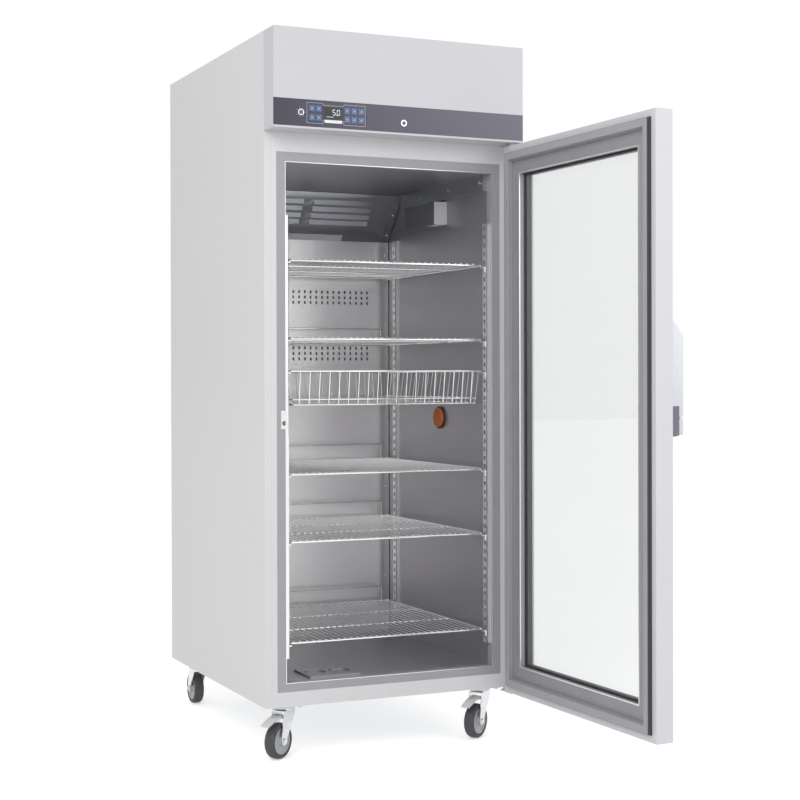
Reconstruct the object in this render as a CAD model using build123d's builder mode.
from build123d import *
import os
from math import cos, radians, sin

# Laboratory refrigerator with a glazed door, on four casters. Millimetres, +Z up.
# The origin lies on the floor under the middle of the cabinet; the front faces -Y.
# The door stands open, as in the photograph.
os.makedirs("parts", exist_ok=True)

# Cabinet
width = 770.0
depth = 896.0
body_bottom = 150.0
body_top = 2019.0
sheet = 1.2
return_width = 20.0
half_width = width / 2
front = -depth / 2
back = depth / 2
skin_x = half_width - sheet
return_x = half_width - return_width

# Header box over the door
header_bottom = 1744.0
header_overhang = 78.0
header_front = front - header_overhang
band_bottom = 1750.0
band_top = 1824.0
band_recess = 2.5
strip_thickness = 2.0
foil_thickness = 0.5

# Opening, breaker frame and liner
opening_x = 322.0
opening_bottom = 216.0
opening_top = 1661.0
breaker_x = 349.0
breaker_bottom = 191.0
breaker_top = 1689.0
flange = 3.0
neck = 4.0
neck_depth = 28.0
liner_sheet = 1.0
liner_front = front + neck_depth
liner_back = 346.0

# Rear air duct and the sloping cover above it
duct_y = 286.0
duct_top = 1515.0
duct_sheet = 1.5
cover_top_y = 173.0
cover_half = 320.0
louvre_rows = (30.0, 56.0, 82.0, 106.0)

# Shelving
shelf_tops = (1397.0, 1178.0, 798.0, 609.0, 327.0)
shelf_x = 305.0
shelf_front = -428.0
shelf_back = 250.0
shelf_pitch = 19.5
shelf_wires = 31
wire = 3.0
rail = 6.0
stop_height = 42.0
stop_x = 275.0
basket_rim = 1085.0
basket_bottom = 987.0
basket_taper = 15.0
upright_y = ((-438.0, -413.0), (206.0, 231.0))
upright_z = (282.0, 1515.0)
upright_x = 310.0
slot_pitch = 50.0

# Test port in the right wall
port_y = -105.0
port_z = 938.0
port_radius = 30.0
port_flange = 35.0
port_wall = 2.0

# Door
door_width = 768.0
door_height = 1589.0
door_bottom = 145.0
door_thickness = 51.3
hinge_x = 375.0
hinge_y = -490.0
pin_radius = 4.0
door_angle = 91.1
inner_face = -30.2
outer_face = inner_face + door_thickness
lip_width = 19.0
gasket_width = 25.0
gasket_height = 11.5
recess_start = 46.0
recess_depth = 7.0
window_margin = 84.0
pane = 4.0
pane_margin = 75.0
glass_in = inner_face + 22.0
glass_out = outer_face - 6.1
moulding = 1.5

# Handle and lock
handle_bottom = 916.0
handle_top = 1213.0
handle_reach = 44.0
handle_inset = 18.0
handle_width = 30.0
lock_z = 959.0
bolt_x = -328.0
bolt_z = 937.0
bolt_radius = 5.0
cylinder_radius = 4.5

# Casters
wheel_radius = 50.0
wheel_half = 16.0
axle_radius = 5.0
fork_inner = 19.0
fork_sheet = 3.0
caster_x = 310.0
caster_front_y = -392.0
caster_rear_y = 398.0
front_trail = 28.0
rear_trail = 36.0
front_heading = 215.0
rear_heading = 90.0
plate_half = (50.0, 42.0)

# Clearance between pieces that turn or slide in each other
clearance = 0.3


def block(x, y, z, mode=Mode.ADD):
    """Adds a box between two x, two y and two z values."""
    with Locations(((x[0] + x[1]) / 2, (y[0] + y[1]) / 2, (z[0] + z[1]) / 2)):
        Box(x[1] - x[0], y[1] - y[0], z[1] - z[0], mode=mode)


def prism(plane, points, amount, mode=Mode.ADD):
    """Extrudes a closed outline drawn on a plane."""
    with BuildSketch(plane) as outline:
        with BuildLine():
            Polyline(*points, close=True)
        make_face()
    extrude(outline.sketch, amount=amount, mode=mode)


def disc(plane, at, radius, amount, mode=Mode.ADD):
    """Extrudes a circle drawn on a plane."""
    with BuildSketch(plane) as outline:
        with Locations(at):
            Circle(radius)
    extrude(outline.sketch, amount=amount, mode=mode)


def keep(builder, name):
    """Labels a finished piece and writes its file."""
    builder.part.label = name
    export_step(builder.part, "parts/" + name + ".step")


def facing_front(y):
    """A plane across the cabinet at depth y that faces the front."""
    return Plane(origin=(0, y, 0), x_dir=(1, 0, 0), z_dir=(0, -1, 0))


def facing_right(x):
    """A plane along the cabinet at x that faces the right-hand side."""
    return Plane(origin=(x, 0, 0), x_dir=(0, 1, 0), z_dir=(1, 0, 0))


# Side panels: folded sheet with returns at the front, the rear and the bottom
def side_panel(side):
    outer = side * half_width
    inner = side * skin_x
    edge = side * return_x
    with BuildPart() as panel:
        block(sorted((inner, outer)), (front, back), (body_bottom, body_top))
        block(sorted((edge, outer)), (front, front + sheet), (body_bottom, body_top))
        block(sorted((edge, outer)), (back - sheet, back), (body_bottom, body_top))
        block(sorted((edge, outer)), (front, back), (body_bottom, body_bottom + sheet))
        if side > 0:
            disc(facing_right(skin_x - 1), (port_y, port_z), port_radius + port_wall, 5, Mode.SUBTRACT)
    return panel


keep(side_panel(-1), "left_side_panel")
keep(side_panel(1), "right_side_panel")

# Rear panel with the deck of the machine compartment folded forward from it
inlet_x = -300.0
inlet_z = 1800.0
inlet_half = (14.0, 10.0)
vent_columns = 5
vent_rows = 7
vent_pitch = (90.0, 22.0)
with BuildPart() as rear_panel:
    block((-return_x, return_x), (back - sheet, back), (body_bottom, body_top - sheet))
    block((-skin_x, skin_x), (front + sheet, back - sheet), (header_bottom - sheet, header_bottom))
    with BuildSketch(facing_front(back - 3)) as vents:
        with Locations((40, 1900)):
            with GridLocations(vent_pitch[0], vent_pitch[1], vent_columns, vent_rows):
                Rectangle(70, 8)
        with Locations((inlet_x, inlet_z)):
            Rectangle(2 * inlet_half[0], 2 * inlet_half[1])
    extrude(vents.sketch, amount=-5, mode=Mode.SUBTRACT)
keep(rear_panel, "rear_panel")

# Roof: shallow tray, open below, with a vent over the condenser
roof_flange = 16.0
with BuildPart() as roof_panel:
    block((-skin_x, skin_x), (front + sheet, back - sheet), (body_top - roof_flange, body_top))
    block(
        (-skin_x + sheet, skin_x - sheet),
        (front + 2 * sheet, back - 2 * sheet),
        (body_top - roof_flange - 1, body_top - sheet),
        Mode.SUBTRACT,
    )
    with BuildSketch(Plane.XY.offset(body_top - 5)) as roof_vents:
        with Locations((170, 180)):
            with GridLocations(150, 24, 2, 8):
                Rectangle(120, 10)
    extrude(roof_vents.sketch, amount=10, mode=Mode.SUBTRACT)
keep(roof_panel, "roof_panel")

# Base sheet with the four bolted caster plates
plate_thickness = 4.0
plate_bottom = body_bottom - plate_thickness
kingpin_radius = 6.0
kingpin_top = plate_bottom + 3.0
caster_spots = (
    ("front_left", -caster_x, caster_front_y, front_heading, front_trail),
    ("front_right", caster_x, caster_front_y, front_heading, front_trail),
    ("rear_left", -caster_x, caster_rear_y, rear_heading, rear_trail),
    ("rear_right", caster_x, caster_rear_y, rear_heading, rear_trail),
)
with BuildPart() as base_frame:
    block((-return_x, return_x), (front + sheet, back - sheet), (body_bottom, body_bottom + sheet))
    for _, x, y, _, _ in caster_spots:
        block(
            (x - plate_half[0], x + plate_half[0]),
            (y - plate_half[1], y + plate_half[1]),
            (plate_bottom, body_bottom),
        )
        with BuildSketch(Plane.XY.offset(plate_bottom)) as bolts:
            with Locations((x, y)):
                with GridLocations(76, 62, 2, 2):
                    RegularPolygon(6.5, 6)
        extrude(bolts.sketch, amount=-4)
        disc(Plane.XY.offset(plate_bottom - 1), (x, y), kingpin_radius, 1 + 3, Mode.SUBTRACT)
keep(base_frame, "base_frame")

# Inner liner: stainless box open at the front, with the port hole in its right wall
liner_x = opening_x + liner_sheet
with BuildPart() as inner_liner:
    block(
        (-liner_x, liner_x),
        (liner_front, liner_back + liner_sheet),
        (opening_bottom - liner_sheet, opening_top + liner_sheet),
    )
    block(
        (-opening_x, opening_x),
        (liner_front - 1, liner_back),
        (opening_bottom, opening_top),
        Mode.SUBTRACT,
    )
    disc(facing_right(opening_x - 2), (port_y, port_z), port_radius + port_wall, 5, Mode.SUBTRACT)
keep(inner_liner, "inner_liner")

# Foam between the skins and the liner
bolt_pocket = 8.0
facade_back = front + sheet
with BuildPart() as foam_insulation:
    block(
        (-skin_x, skin_x),
        (facade_back, back - sheet),
        (body_bottom + sheet, header_bottom - sheet),
    )
    block(
        (-liner_x, liner_x),
        (facade_back - 1, liner_back + liner_sheet),
        (opening_bottom - liner_sheet, opening_top + liner_sheet),
        Mode.SUBTRACT,
    )
    block(
        (-opening_x - neck, opening_x + neck),
        (facade_back - 1, liner_front),
        (opening_bottom - neck, opening_top + neck),
        Mode.SUBTRACT,
    )
    block(
        (-breaker_x, breaker_x),
        (facade_back - 1, front + flange),
        (breaker_bottom, breaker_top),
        Mode.SUBTRACT,
    )
    disc(facing_right(opening_x), (port_y, port_z), port_radius + port_wall, 70, Mode.SUBTRACT)
    disc(facing_front(front + flange + 5), (bolt_x, bolt_z), bolt_pocket, 10, Mode.SUBTRACT)
keep(foam_insulation, "foam_insulation")

# Facade: painted ring round the opening
with BuildPart() as facade_frame:
    block((-return_x, return_x), (front, facade_back), (body_bottom, header_bottom))
    block(
        (-breaker_x, breaker_x),
        (front - 1, facade_back + 1),
        (breaker_bottom, breaker_top),
        Mode.SUBTRACT,
    )
keep(facade_frame, "facade_frame")

# Breaker frame: plastic flange, neck and a bright bead round the opening
bead_width = 2.0
bead_height = 1.5
striker_z = (921.0, 972.0)
with BuildPart() as breaker_frame:
    block((-breaker_x, breaker_x), (front, front + flange), (breaker_bottom, breaker_top))
    block(
        (-opening_x - neck, opening_x + neck),
        (front, liner_front),
        (opening_bottom - neck, opening_top + neck),
    )
    block(
        (-opening_x - bead_width, opening_x + bead_width),
        (front - bead_height, front),
        (opening_bottom - bead_width, opening_top + bead_width),
    )
    block(
        (-opening_x, opening_x),
        (front - 5, liner_front + 1),
        (opening_bottom, opening_top),
        Mode.SUBTRACT,
    )
    block((-opening_x - 5, -opening_x), (front - 5, front), striker_z, Mode.SUBTRACT)
    disc(facing_front(front + flange + 1), (bolt_x, bolt_z), bolt_pocket, 8, Mode.SUBTRACT)
keep(breaker_frame, "breaker_frame")

# Striker plate for the lock bolt, hooked round the edge of the opening
striker_x = (-337.0, -320.5)
with BuildPart() as lock_striker:
    block(striker_x, (front - 2, front), striker_z)
    block((-opening_x, striker_x[1]), (front - 2, front + 8), striker_z)
    disc(facing_front(front + 1), (bolt_x, bolt_z), bolt_radius + 1.5, 5, Mode.SUBTRACT)
keep(lock_striker, "lock_striker")

# Header box: folded front with a recessed band, closed sides, open towards the machine compartment
display_x = (-237.0, -183.0)
display_z = (1774.0, 1807.0)
switches = (("left", -306.0, 1788.0), ("right", 3.0, 1777.0))
switch_outer = 9.0
switch_barrel = 8.0
switch_bore = 6.0
with BuildPart() as header_panel:
    block((-half_width, half_width), (header_front, front), (header_bottom, body_top))
    block(
        (-half_width - 1, half_width + 1),
        (header_front - 1, header_front + band_recess),
        (band_bottom, band_top),
        Mode.SUBTRACT,
    )
    block(
        (-skin_x, skin_x),
        (header_front + band_recess + sheet, front + 1),
        (header_bottom + sheet, body_top - sheet),
        Mode.SUBTRACT,
    )
    with BuildSketch(facing_front(header_front + band_recess + 3)) as cutouts:
        with Locations(((display_x[0] + display_x[1]) / 2, (display_z[0] + display_z[1]) / 2)):
            Rectangle(display_x[1] - display_x[0], display_z[1] - display_z[0])
        with Locations(*[(x, z) for _, x, z in switches]):
            Circle(switch_barrel)
    extrude(cutouts.sketch, amount=6, mode=Mode.SUBTRACT)
keep(header_panel, "header_panel")

# Control strip on the band
strip_back = header_front + band_recess
strip_front = strip_back - strip_thickness
with BuildPart() as control_strip:
    block((-half_width, half_width), (strip_front, strip_back), (band_bottom, band_top))
    extrude(cutouts.sketch, amount=12, mode=Mode.SUBTRACT)
    block((-112.5, -109.5), (strip_front - 1, strip_front + 1), (1781, 1795), Mode.SUBTRACT)
keep(control_strip, "control_strip")

# Membrane foil with embossed keys round the display
foil_x = (-288.0, -114.0)
foil_z = (1759.0, 1817.0)
foil_front = strip_front - foil_thickness
key_size = 15.0
key_height = 0.4
keys = [(x, z) for x in (-273.0, -253.0) for z in (1801.0, 1776.0)]
keys += [(x, z) for x in (-169.0, -147.5, -126.0) for z in (1800.0, 1776.0)]
with BuildPart() as keypad_foil:
    block(foil_x, (foil_front, strip_front), foil_z)
    block(display_x, (foil_front - 1, strip_front + 1), display_z, Mode.SUBTRACT)
    with BuildSketch(facing_front(foil_front)) as key_outline:
        with Locations(*keys):
            Rectangle(key_size, key_size)
    extrude(key_outline.sketch, amount=key_height)
keep(keypad_foil, "keypad_foil")

with BuildPart() as display_window:
    block(display_x, (foil_front, header_front + 12), display_z)
keep(display_window, "display_window")

# Key switches: fixed threaded bezels and turning cores
with BuildPart() as key_switch_bezels:
    with BuildSketch(facing_front(strip_front)) as rings:
        with Locations(*[(x, z) for _, x, z in switches]):
            Circle(switch_outer)
            Circle(switch_bore, mode=Mode.SUBTRACT)
    extrude(rings.sketch, amount=3)
    with BuildSketch(facing_front(header_front + 14)) as barrels:
        with Locations(*[(x, z) for _, x, z in switches]):
            Circle(switch_barrel)
            Circle(switch_bore, mode=Mode.SUBTRACT)
    extrude(barrels.sketch, amount=14 - (strip_front - header_front))
keep(key_switch_bezels, "key_switch_bezels")

for side, x, z in switches:
    with BuildPart() as core:
        disc(facing_front(header_front + 12), (x, z), switch_bore - clearance, 12 + 4)
        block((x - 0.8, x + 0.8), (header_front - 5, header_front - 1.5), (z - 4, z + 4), Mode.SUBTRACT)
    keep(core, "key_switch_" + side)

# Sloping evaporator cover with two groups of pressed louvres
slope_run = duct_y - cover_top_y
slope_drop = opening_top - duct_top
slope_length = (slope_run**2 + slope_drop**2) ** 0.5
COVER = Plane(
    origin=(0, cover_top_y, opening_top),
    x_dir=(1, 0, 0),
    z_dir=(0, -slope_drop / slope_length, -slope_run / slope_length),
)
louvre_x = ((-223.0, -17.0), (17.0, 223.0))
louvre_rise = 6.0
louvre_height = 14.0
with BuildPart() as evaporator_cover:
    with BuildSketch(COVER.offset(-sheet)) as cover_face:
        with Locations((0, -slope_length / 2)):
            Rectangle(2 * cover_half, slope_length - 4)
    extrude(cover_face.sketch, amount=sheet)
    for start, end in louvre_x:
        LOUVRE = Plane(origin=COVER.from_local_coords((start, 0, 0)), x_dir=COVER.y_dir, z_dir=(1, 0, 0))
        for row in louvre_rows:
            low = -row - louvre_height
            hood = [(-row, 0), (low, louvre_rise), (low, 0)]
            hollow = [(-row - 3, -2), (-row - 3, 0), (low - 1, louvre_rise - sheet), (low - 1, -2)]
            prism(LOUVRE, hood, end - start)
            prism(LOUVRE.offset(sheet), hollow, end - start - 2 * sheet, Mode.SUBTRACT)
keep(evaporator_cover, "evaporator_cover")


# Axial fans: a square frame with a motor on a spider, and a five-bladed rotor before the motor
rotor_middle = 14.0
rotor_hub = 16.0


def fan_frame(plane, size, bore, thickness):
    with BuildSketch(plane) as spider:
        Rectangle(size, size)
        Circle(bore, mode=Mode.SUBTRACT)
        Rectangle(2 * bore + 2, 8)
        Rectangle(8, 2 * bore + 2)
        Circle(bore * 0.35)
    extrude(spider.sketch, amount=-3)
    with BuildSketch(plane) as wall:
        Rectangle(size, size)
        Circle(bore, mode=Mode.SUBTRACT)
    extrude(wall.sketch, amount=thickness)
    disc(plane, (0, 0), bore * 0.3, rotor_middle - rotor_hub / 2 - clearance)


def fan_rotor(plane, bore):
    with BuildPart(plane.offset(rotor_middle)) as rotor:
        Cylinder(bore * 0.35, rotor_hub)
        with PolarLocations(bore * 0.64, 5):
            Box(bore * 0.62, bore * 0.5, 2, rotation=(28, 0, 0))
    return rotor


# Evaporator behind the cover and the fan behind the duct panel
duct_back = duct_y + duct_sheet
fan_z = 1446.0
fan_bore = 56.0
fan_depth = 26.0
EVAPORATOR_FAN = Plane(origin=(0, duct_back + fan_depth, fan_z), x_dir=(1, 0, 0), z_dir=(0, -1, 0))
coil_y = (266.0, 330.0)
coil_z = (1572.0, 1652.0)
with BuildPart() as evaporator_coil:
    fan_frame(EVAPORATOR_FAN, 124, fan_bore, fan_depth)
    for index in range(25):
        fin_x = -252 + index * 21
        block((fin_x - 0.5, fin_x + 0.5), coil_y, coil_z)
    for y in (282, 314):
        for z in (1592, 1632):
            block((-280, 280), (y - 4, y + 4), (z - 4, z + 4))
    for x in (-280, 280):
        block((x - 1, x + 1), coil_y, (coil_z[0], opening_top))
keep(evaporator_coil, "evaporator_coil")

keep(fan_rotor(EVAPORATOR_FAN, fan_bore - 2), "evaporator_fan")

# Rear duct panel with two fields of outlet slots
hole_columns = 25
hole_pitch = 20.2
hole_rows = (1345.0, 1327.5, 1310.0, 1161.0, 1143.0, 1125.0)
hole_size = (6.0, 9.0)
with BuildPart() as rear_duct_panel:
    block((-cover_half, cover_half), (duct_y, duct_back), (opening_bottom, duct_top))
    for side in (-1, 1):
        edge = side * cover_half
        block(sorted((edge, edge - side * duct_sheet)), (duct_y, liner_back), (opening_bottom, duct_top))
    with BuildSketch(facing_front(duct_back + 1)) as holes:
        for z in hole_rows:
            with Locations((0, z)):
                with GridLocations(hole_pitch, 1, hole_columns, 1):
                    Rectangle(*hole_size)
    extrude(holes.sketch, amount=4, mode=Mode.SUBTRACT)
keep(rear_duct_panel, "rear_duct_panel")

# Slotted uprights on the side walls
slot_count = int((upright_z[1] - upright_z[0]) / slot_pitch) - 1
upright_middle = (upright_z[0] + upright_z[1]) / 2
with BuildPart() as shelf_uprights:
    for side in (-1, 1):
        for y in upright_y:
            block(sorted((side * upright_x, side * opening_x)), y, upright_z)
            hollow_y = (y[0] + 1.5, y[1] - 1.5)
            hollow_x = sorted((side * (upright_x + 1.5), side * (opening_x + 1)))
            block(hollow_x, hollow_y, (upright_z[0] - 1, upright_z[1] + 1), Mode.SUBTRACT)
            with BuildSketch(facing_right(side * upright_x - 3)) as slots:
                with Locations(((y[0] + y[1]) / 2, upright_middle)):
                    with GridLocations(1, slot_pitch, 1, slot_count):
                        Rectangle(8, 12)
            extrude(slots.sketch, amount=6, mode=Mode.SUBTRACT)
keep(shelf_uprights, "shelf_uprights")

# Clips hooked into the uprights under each shelf and under the basket rim
clip_in = 300.5
clip_tops = [top - 2 * wire - rail + wire - clearance for top in shelf_tops]
clip_tops.append(basket_rim - rail - clearance)
with BuildPart() as shelf_clips:
    for side in (-1, 1):
        for y in upright_y:
            middle = (y[0] + y[1]) / 2
            near = (middle - 6, middle + 6)
            for top in clip_tops:
                block(sorted((side * clip_in, side * upright_x)), near, (top - 4, top))
                block(sorted((side * (upright_x - 2), side * upright_x)), near, (top - 16, top - 4))
keep(shelf_clips, "shelf_clips")


# Wire shelf: front-to-back wires between two rails, on side rails and two cross rails
def wire_shelf(top):
    low = top - wire
    with BuildPart() as shelf:
        with BuildSketch(Plane.XY.offset(low)) as wires:
            with Locations((0, (shelf_front + shelf_back) / 2)):
                with GridLocations(shelf_pitch, 1, shelf_wires, 1):
                    Rectangle(wire, shelf_back - shelf_front - rail)
        extrude(wires.sketch, amount=wire)
        for y in ((shelf_front, shelf_front + rail), (shelf_back - rail, shelf_back)):
            block((-shelf_x, shelf_x), y, (low - rail, top))
        for side in (-1, 1):
            edge = side * shelf_x
            inner = side * (shelf_x - rail)
            block(sorted((inner, edge)), (shelf_front, shelf_back), (low - rail, low - clearance))
            post = side * stop_x
            block((post - 2.5, post + 2.5), (shelf_back - 5, shelf_back), (top, top + stop_height))
        for y in (-205.0, 25.0):
            block((-shelf_x + rail, shelf_x - rail), (y - 3, y + 3), (low - rail, low - clearance))
        block(
            (-stop_x - 2.5, stop_x + 2.5),
            (shelf_back - 5, shelf_back),
            (top + stop_height, top + stop_height + 5),
        )
    return shelf


for number, top in enumerate(shelf_tops, start=1):
    keep(wire_shelf(top), "shelf_" + str(number))

# Wire basket: its wires lean inwards from the rim to the bottom rails
rim_low = basket_rim - rail
bottom_top = basket_bottom + wire
lean = basket_taper
basket_back = 240.0
floor_x = shelf_x - lean
floor_y = (shelf_front + lean, basket_back - lean)
with BuildPart() as wire_basket:
    for low, grow in ((rim_low, 0.0), (basket_bottom - rail + wire, lean), (basket_bottom + 14, lean - 2)):
        edge = shelf_x - grow
        ends = (shelf_front + grow, basket_back - grow)
        thick = rail if low == rim_low else wire + 1
        block((-edge, edge), ends, (low, low + rail))
        inner_x = (-edge + thick, edge - thick)
        inner_y = (ends[0] + thick, ends[1] - thick)
        block(inner_x, inner_y, (low - 1, low + 9), Mode.SUBTRACT)
    for x in [index * 30.0 for index in range(-9, 10)]:
        for sign, y in ((1, shelf_front), (-1, basket_back)):
            top_y = y + sign * 1.0
            low_y = y + sign * lean
            outline = [(top_y, rim_low + 1), (top_y + wire, rim_low + 1), (low_y + wire, basket_bottom)]
            outline.append((low_y, basket_bottom))
            prism(facing_right(x - wire / 2), outline, wire)
        across = (x - wire / 2, x + wire / 2)
        block(across, (floor_y[0] + 1, floor_y[1] - 1), (basket_bottom - 1, bottom_top - 1))
    for y in [index * 60.0 - 370 for index in range(10)]:
        for side in (-1, 1):
            top_x = side * (clip_in - 0.5)
            low_x = side * floor_x
            outline = [(top_x, rim_low + 1), (top_x - side * wire, rim_low + 1)]
            outline += [(low_x - side * wire, basket_bottom), (low_x, basket_bottom)]
            prism(facing_front(y), outline, wire)
keep(wire_basket, "wire_basket")

# Wiring duct under the ceiling, with hooks and an end cap
duct_x = (310.0, 322.0)
wiring_z = (1613.0, 1661.0)
with BuildPart() as wiring_duct:
    block(duct_x, (-418, 165), wiring_z)
    inside_z = (wiring_z[0] + sheet, wiring_z[1] - sheet)
    block((duct_x[0] + sheet, duct_x[1] + 1), (-414, 161), inside_z, Mode.SUBTRACT)
    for y in (-402.0, -193.0, 7.0):
        block((duct_x[0] - 8, duct_x[0]), (y - 3, y + 3), (1634, 1638))
        block((duct_x[0] - 8, duct_x[0] - 5), (y - 3, y + 3), (1638, 1646))
keep(wiring_duct, "wiring_duct")

# Interior lamp on the right wall
lamp_x = (279.0, 322.0)
lamp_y = (-150.0, 64.0)
lamp_z = (1537.0, 1607.0)
with BuildPart() as lamp_housing:
    block(lamp_x, lamp_y, lamp_z)
    inside_z = (lamp_z[0] + 2, lamp_z[1] - 2)
    block((lamp_x[0] + 2, lamp_x[1] - 2), (lamp_y[0] - 1, lamp_y[1] - 2), inside_z, Mode.SUBTRACT)
keep(lamp_housing, "lamp_housing")

with BuildPart() as lamp_diffuser:
    block(lamp_x, (lamp_y[0] - 4, lamp_y[0]), lamp_z)
    block((lamp_x[0] + 17, lamp_x[0] + 19), (lamp_y[0] - 5, lamp_y[0] - 3), lamp_z, Mode.SUBTRACT)
    block((lamp_x[0] + 2.5, lamp_x[1] - 2.5), (lamp_y[0], lamp_y[0] + 6), (lamp_z[0] + 2.5, lamp_z[1] - 2.5))
keep(lamp_diffuser, "lamp_diffuser")

# Test port: flanged sleeve through the right wall and its stopper
with BuildPart() as port_sleeve:
    for x, length, radius in (
        (opening_x - 4, 4, port_flange),
        (opening_x, half_width - opening_x, port_radius + port_wall),
        (half_width, 2, port_flange),
    ):
        disc(facing_right(x), (port_y, port_z), radius, length)
    disc(facing_right(opening_x - 5), (port_y, port_z), port_radius + clearance, 80, Mode.SUBTRACT)
keep(port_sleeve, "port_sleeve")

with BuildPart() as port_plug:
    disc(facing_right(opening_x - 12), (port_y, port_z), port_radius, 62)
    chamfer(port_plug.faces().sort_by(Axis.X)[0].edges(), length=2)
keep(port_plug, "port_plug")

# Tray with two dishes on the cabinet floor
tray_x = (-238.0, -85.0)
tray_y = (-413.0, -283.0)
with BuildPart() as floor_tray:
    block(tray_x, tray_y, (opening_bottom, opening_bottom + 6))
    for x in (-198.0, -125.0):
        disc(Plane.XY.offset(opening_bottom + 1.5), (x, -348), 32, 10, Mode.SUBTRACT)
keep(floor_tray, "floor_tray")

# Hinge brackets with pins, above and below the door
pin_depth = 16.0
door_top = door_bottom + door_height
bracket_x = (355.0, 385.0)
with BuildPart() as hinge_brackets:
    block(bracket_x, (hinge_y - 14, front), (header_bottom - 4, header_bottom))
    block(bracket_x, (hinge_y - 14, front + 12), (door_bottom - 6, door_bottom - 2))
    block((364, bracket_x[1]), (front, front + 12), (door_bottom - 2, body_bottom))
    disc(Plane.XY.offset(door_top - pin_depth), (hinge_x, hinge_y), pin_radius, header_bottom - door_top + 12)
    disc(Plane.XY.offset(door_bottom - 2), (hinge_x, hinge_y), pin_radius, pin_depth)
keep(hinge_brackets, "hinge_brackets")

# Compressor on its feet, with suction and pressure pipes
compressor_at = (-190.0, 170.0)
with BuildPart() as compressor:
    with BuildSketch(Plane.XY.offset(header_bottom)) as feet:
        with Locations(compressor_at):
            Rectangle(210, 150)
    extrude(feet.sketch, amount=8)
    with BuildSketch(Plane.XY.offset(header_bottom + 8)) as pot:
        with Locations(compressor_at):
            RegularPolygon(80, 16)
    extrude(pot.sketch, amount=120)
    with BuildSketch(Plane.XY.offset(header_bottom + 128)) as dome:
        with Locations(compressor_at):
            RegularPolygon(80, 16)
    extrude(dome.sketch, amount=30, taper=45)
    block((-110, -60), (150, 190), (1790, 1850))
    block((-194, -186), (50, 110), (1796, 1804))
keep(compressor, "compressor")

# Condenser with its fan frame
condenser_x = (20.0, 320.0)
condenser_y = (60.0, 110.0)
condenser_z = (1744.0, 1974.0)
condenser_mid_z = 1864.0
CONDENSER_FAN = Plane(origin=(170, condenser_y[0] - 30, condenser_mid_z), x_dir=(1, 0, 0), z_dir=(0, 1, 0))
condenser_bore = 88.0
with BuildPart() as condenser_unit:
    for index in range(21):
        fin_x = condenser_x[0] + 5 + index * 14.5
        block((fin_x - 0.5, fin_x + 0.5), condenser_y, (1764, 1964))
    for y in (72, 98):
        for z in (1784, 1864, 1944):
            block(condenser_x, (y - 3, y + 3), (z - 3, z + 3))
    for x in condenser_x:
        block((x - 1, x + 1), (condenser_y[0] - 30, condenser_y[1]), condenser_z)
    fan_frame(CONDENSER_FAN, 220, condenser_bore, 30)
    block(condenser_x, (condenser_y[0] - 30, condenser_y[0] - 27), (1744, 1760))
    block((279, 320), (condenser_y[0] - 30, condenser_y[0] - 27), (1760, 1974))
    block((20, 61), (condenser_y[0] - 30, condenser_y[0] - 27), (1760, 1974))
keep(condenser_unit, "condenser_unit")
keep(fan_rotor(CONDENSER_FAN, condenser_bore - 3), "condenser_fan")

# Mains inlet in the rear panel: shell with three blades
with BuildPart() as mains_inlet:
    block(
        (inlet_x - 25, inlet_x + 25),
        (back, back + 3),
        (inlet_z - 16, inlet_z + 16),
    )
    block(
        (inlet_x - inlet_half[0], inlet_x + inlet_half[0]),
        (back - 25, back),
        (inlet_z - inlet_half[1], inlet_z + inlet_half[1]),
    )
    block((inlet_x - 12, inlet_x + 12), (back - 18, back + 4), (inlet_z - 8, inlet_z + 8), Mode.SUBTRACT)
    for x, z in ((-7, -2), (0, 2), (7, -2)):
        block(
            (inlet_x + x - 1, inlet_x + x + 1),
            (back - 20, back - 2),
            (inlet_z + z - 2, inlet_z + z + 2),
        )
keep(mains_inlet, "mains_inlet")

# Door, drawn in its own plane: local x runs from the hinge, local y up, local z outwards
turn = radians(door_angle)
DOOR = Plane(
    origin=(hinge_x, hinge_y, door_bottom),
    x_dir=(cos(turn), sin(turn), 0),
    z_dir=(sin(turn), -cos(turn), 0),
)
pan_right = half_width - 1 - hinge_x
pan_middle = (pan_right - door_width / 2, door_height / 2)
free_edge = pan_right - door_width


def door_slab(near, far, margin):
    """Adds a slab inset by a margin from the door's outline, between two depths."""
    with BuildSketch(DOOR.offset(near)) as outline:
        with Locations(pan_middle):
            Rectangle(door_width - 2 * margin, door_height - 2 * margin)
    extrude(outline.sketch, amount=far - near)


def door_ring(near, far, margin, inner_margin):
    """Adds a rectangular ring between two margins and two depths of the door."""
    with BuildSketch(DOOR.offset(near)) as outline:
        with Locations(pan_middle):
            Rectangle(door_width - 2 * margin, door_height - 2 * margin)
            Rectangle(door_width - 2 * inner_margin, door_height - 2 * inner_margin, mode=Mode.SUBTRACT)
    extrude(outline.sketch, amount=far - near)


def hinge_bores(radius):
    """Cuts the holes for the two hinge pins."""
    for low in (door_bottom - 1, door_top - pin_depth - 1):
        disc(Plane.XY.offset(low), (hinge_x, hinge_y), radius, pin_depth + 2, Mode.SUBTRACT)


def on_door(x, height):
    """Turns a closed-door x and a height into the door plane's own coordinates."""
    return (x - hinge_x, height - door_bottom)


pin_bore = pin_radius + clearance
with BuildPart() as door_skin:
    door_ring(outer_face - sheet, outer_face, 0, window_margin)
    door_ring(inner_face, outer_face - sheet, 0, sheet)
    door_ring(inner_face, inner_face + sheet, sheet, lip_width)
    door_ring(glass_out, outer_face - sheet, window_margin - sheet, window_margin)
    hinge_bores(pin_bore)
keep(door_skin, "door_skin")

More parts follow.
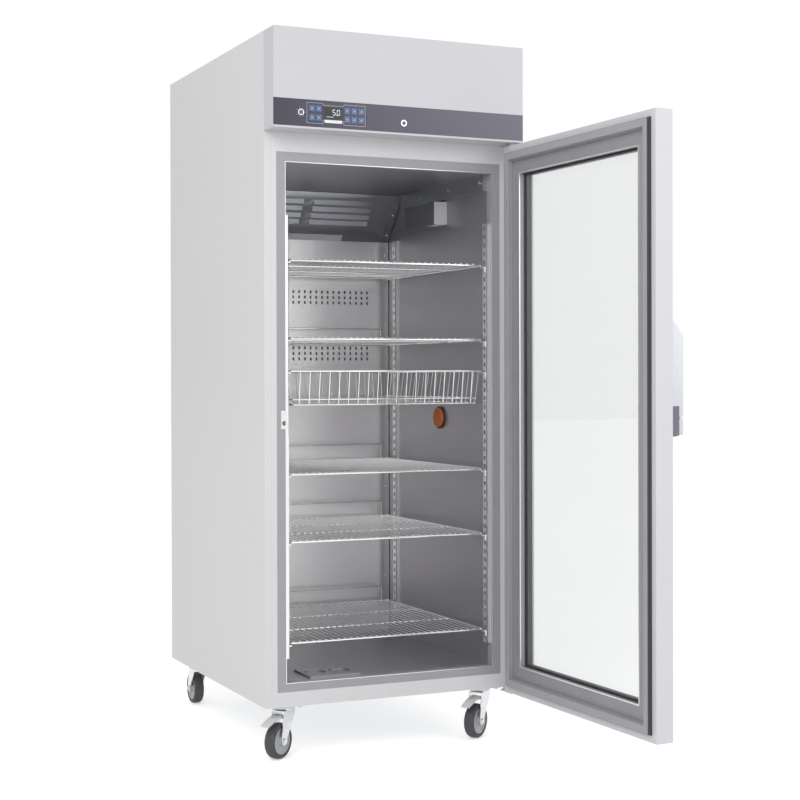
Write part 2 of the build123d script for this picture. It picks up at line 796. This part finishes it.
recess_face = inner_face + recess_depth
with BuildPart() as door_foam:
    door_ring(inner_face + moulding, recess_face + moulding, sheet, recess_start - moulding)
    door_ring(recess_face + moulding, glass_in, sheet, window_margin - moulding)
    door_ring(glass_in, glass_out, sheet, pane_margin)
    door_ring(glass_out, outer_face - sheet, sheet, window_margin - sheet)
    hinge_bores(pin_bore)
    disc(DOOR.offset(recess_face), on_door(bolt_x, bolt_z), bolt_radius + clearance, 36, Mode.SUBTRACT)
keep(door_foam, "door_foam")

with BuildPart() as door_inner_frame:
    door_ring(inner_face, inner_face + moulding, lip_width, recess_start)
    door_ring(inner_face + moulding, recess_face, recess_start - moulding, recess_start)
    door_ring(recess_face, recess_face + moulding, recess_start - moulding, window_margin)
    door_ring(recess_face - 3, recess_face, window_margin - 2.5, window_margin)
    door_ring(recess_face + moulding, glass_in, window_margin - moulding, window_margin)
    disc(DOOR.offset(recess_face - 1), on_door(bolt_x, bolt_z), bolt_radius + clearance, 4, Mode.SUBTRACT)
keep(door_inner_frame, "door_inner_frame")

gasket_top = inner_face - gasket_height
with BuildPart() as door_gasket:
    door_ring(inner_face - 4, inner_face, lip_width, lip_width + gasket_width)
    door_ring(gasket_top, inner_face - 4, lip_width + 1.5, lip_width + gasket_width - 1.5)
keep(door_gasket, "door_gasket")

with BuildPart() as door_glass:
    door_slab(glass_in, glass_in + pane, pane_margin)
    door_slab(glass_out - pane, glass_out, pane_margin)
keep(door_glass, "door_glass")

with BuildPart() as glass_spacer:
    door_ring(glass_in + pane, glass_out - pane, pane_margin, pane_margin + 15)
    door_ring(glass_in - 2, glass_in, window_margin, window_margin + 4.5)
keep(glass_spacer, "glass_spacer")

# Handle: bent pull with a web on the free-edge side; the lock housing is at its foot
grip = handle_reach - 12
handle_at = free_edge + handle_inset
HANDLE = Plane(
    origin=DOOR.from_local_coords((handle_at, -door_bottom, outer_face)),
    x_dir=DOOR.z_dir,
    z_dir=-DOOR.x_dir,
)
pull = [
    (0, handle_top),
    (8, handle_top),
    (handle_reach, handle_top - 45),
    (handle_reach, handle_bottom),
    (grip, handle_bottom),
    (grip, handle_top - 50),
    (0, handle_top - 10),
]
web = [
    (0, handle_top - 8),
    (grip, handle_top - 48),
    (grip, 989),
    (10, 989),
    (10, handle_top - 53),
    (0, handle_top - 41),
]
with BuildPart() as door_handle:
    prism(HANDLE, pull, -handle_width)
    prism(HANDLE, web, -3)
    disc(HANDLE.offset(1), (handle_reach - 6, lock_z), cylinder_radius + clearance, -15, Mode.SUBTRACT)
keep(door_handle, "door_handle")

housing = [(0, 910), (grip, 914), (grip, 989), (0, 989)]
with BuildPart() as lock_housing:
    prism(HANDLE, housing, -handle_width)
keep(lock_housing, "lock_housing")

with BuildPart() as lock_cylinder:
    disc(HANDLE.offset(1.5), (handle_reach - 6, lock_z), cylinder_radius, -14)
    prism(
        HANDLE.offset(2),
        [(handle_reach - 6.6, lock_z - 3), (handle_reach - 5.4, lock_z - 3), (handle_reach - 5.4, lock_z + 3),
         (handle_reach - 6.6, lock_z + 3)],
        -2,
        Mode.SUBTRACT,
    )
keep(lock_cylinder, "lock_cylinder")

with BuildPart() as lock_bolt:
    disc(DOOR.offset(recess_face + 0.2), on_door(bolt_x, bolt_z), bolt_radius, 32)
keep(lock_bolt, "lock_bolt")


# Casters: each fork turns under its plate, with its wheel behind the kingpin
def caster_planes(x, y, heading):
    along = (cos(radians(heading)), sin(radians(heading)), 0)
    across = (along[1], -along[0], 0)
    return Plane(origin=(x, y, 0), x_dir=along, z_dir=across)


fork_outer = fork_inner + fork_sheet
crown_top = 134.0
pivot = (24.0, 117.0)
pivot_radius = 2.5


def caster_fork(x, y, heading, trail, braked):
    side = caster_planes(x, y, heading)
    leg = [
        (-26, crown_top),
        (32, crown_top),
        (trail + 13, 58),
        (trail + 9, 40),
        (trail - 9, 40),
        (trail - 13, 58),
    ]
    crown = [(-26, crown_top), (32, crown_top), (32, crown_top - fork_sheet), (-26, crown_top - fork_sheet)]
    with BuildPart() as fork:
        prism(side.offset(fork_inner), leg, fork_sheet)
        prism(side.offset(-fork_outer), leg, fork_sheet)
        prism(side.offset(-fork_outer), crown, 2 * fork_outer)
        disc(Plane.XY.offset(crown_top), (x, y), 30, plate_bottom - crown_top - clearance)
        disc(Plane.XY.offset(crown_top), (x, y), kingpin_radius - clearance, kingpin_top - crown_top)
        disc(side.offset(-fork_outer), (trail, wheel_radius), axle_radius, 2 * fork_outer)
        for low in (fork_outer, -fork_outer - 4):
            disc(side.offset(low), (trail, wheel_radius), 8, 4)
        if braked:
            disc(side.offset(-fork_outer), pivot, pivot_radius, 2 * fork_outer)
    return fork


def caster_wheel(x, y, heading, trail):
    side = caster_planes(x, y, heading)
    centre = side.from_local_coords((trail, wheel_radius, 0))
    profile_plane = Plane(origin=centre, x_dir=side.z_dir, z_dir=side.x_dir)
    bore = axle_radius + clearance
    hub = fork_inner - 0.5
    half = [(hub, bore), (hub, 14), (11, 17), (11, 36), (wheel_half - 1, 38), (wheel_half, 44), (12, 50)]
    outline = half + [(-u, r) for u, r in reversed(half)]
    with BuildPart() as wheel:
        with BuildSketch(profile_plane) as profile:
            with BuildLine():
                Polyline(*[(u, -r) for u, r in outline], close=True)
            make_face()
        revolve(profile.sketch, axis=Axis(centre, side.z_dir))
    return wheel


def brake_pedal(x, y, heading):
    side = caster_planes(x, y, heading)
    tread = [(pivot[0], 121), (64, 115), (94, 104), (96, 99), (62, 110), (pivot[0], 114)]
    with BuildPart() as pedal:
        disc(side.offset(-fork_inner + 1), pivot, 6, 2 * fork_inner - 2)
        prism(side.offset(-14), tread, 28)
        disc(side.offset(-fork_inner), pivot, pivot_radius + clearance, 2 * fork_inner, Mode.SUBTRACT)
    return pedal


for name, x, y, heading, trail in caster_spots:
    braked = y < 0
    keep(caster_fork(x, y, heading, trail, braked), "caster_fork_" + name)
    keep(caster_wheel(x, y, heading, trail), "caster_wheel_" + name)
    if braked:
        keep(brake_pedal(x, y, heading), "brake_pedal_" + name)
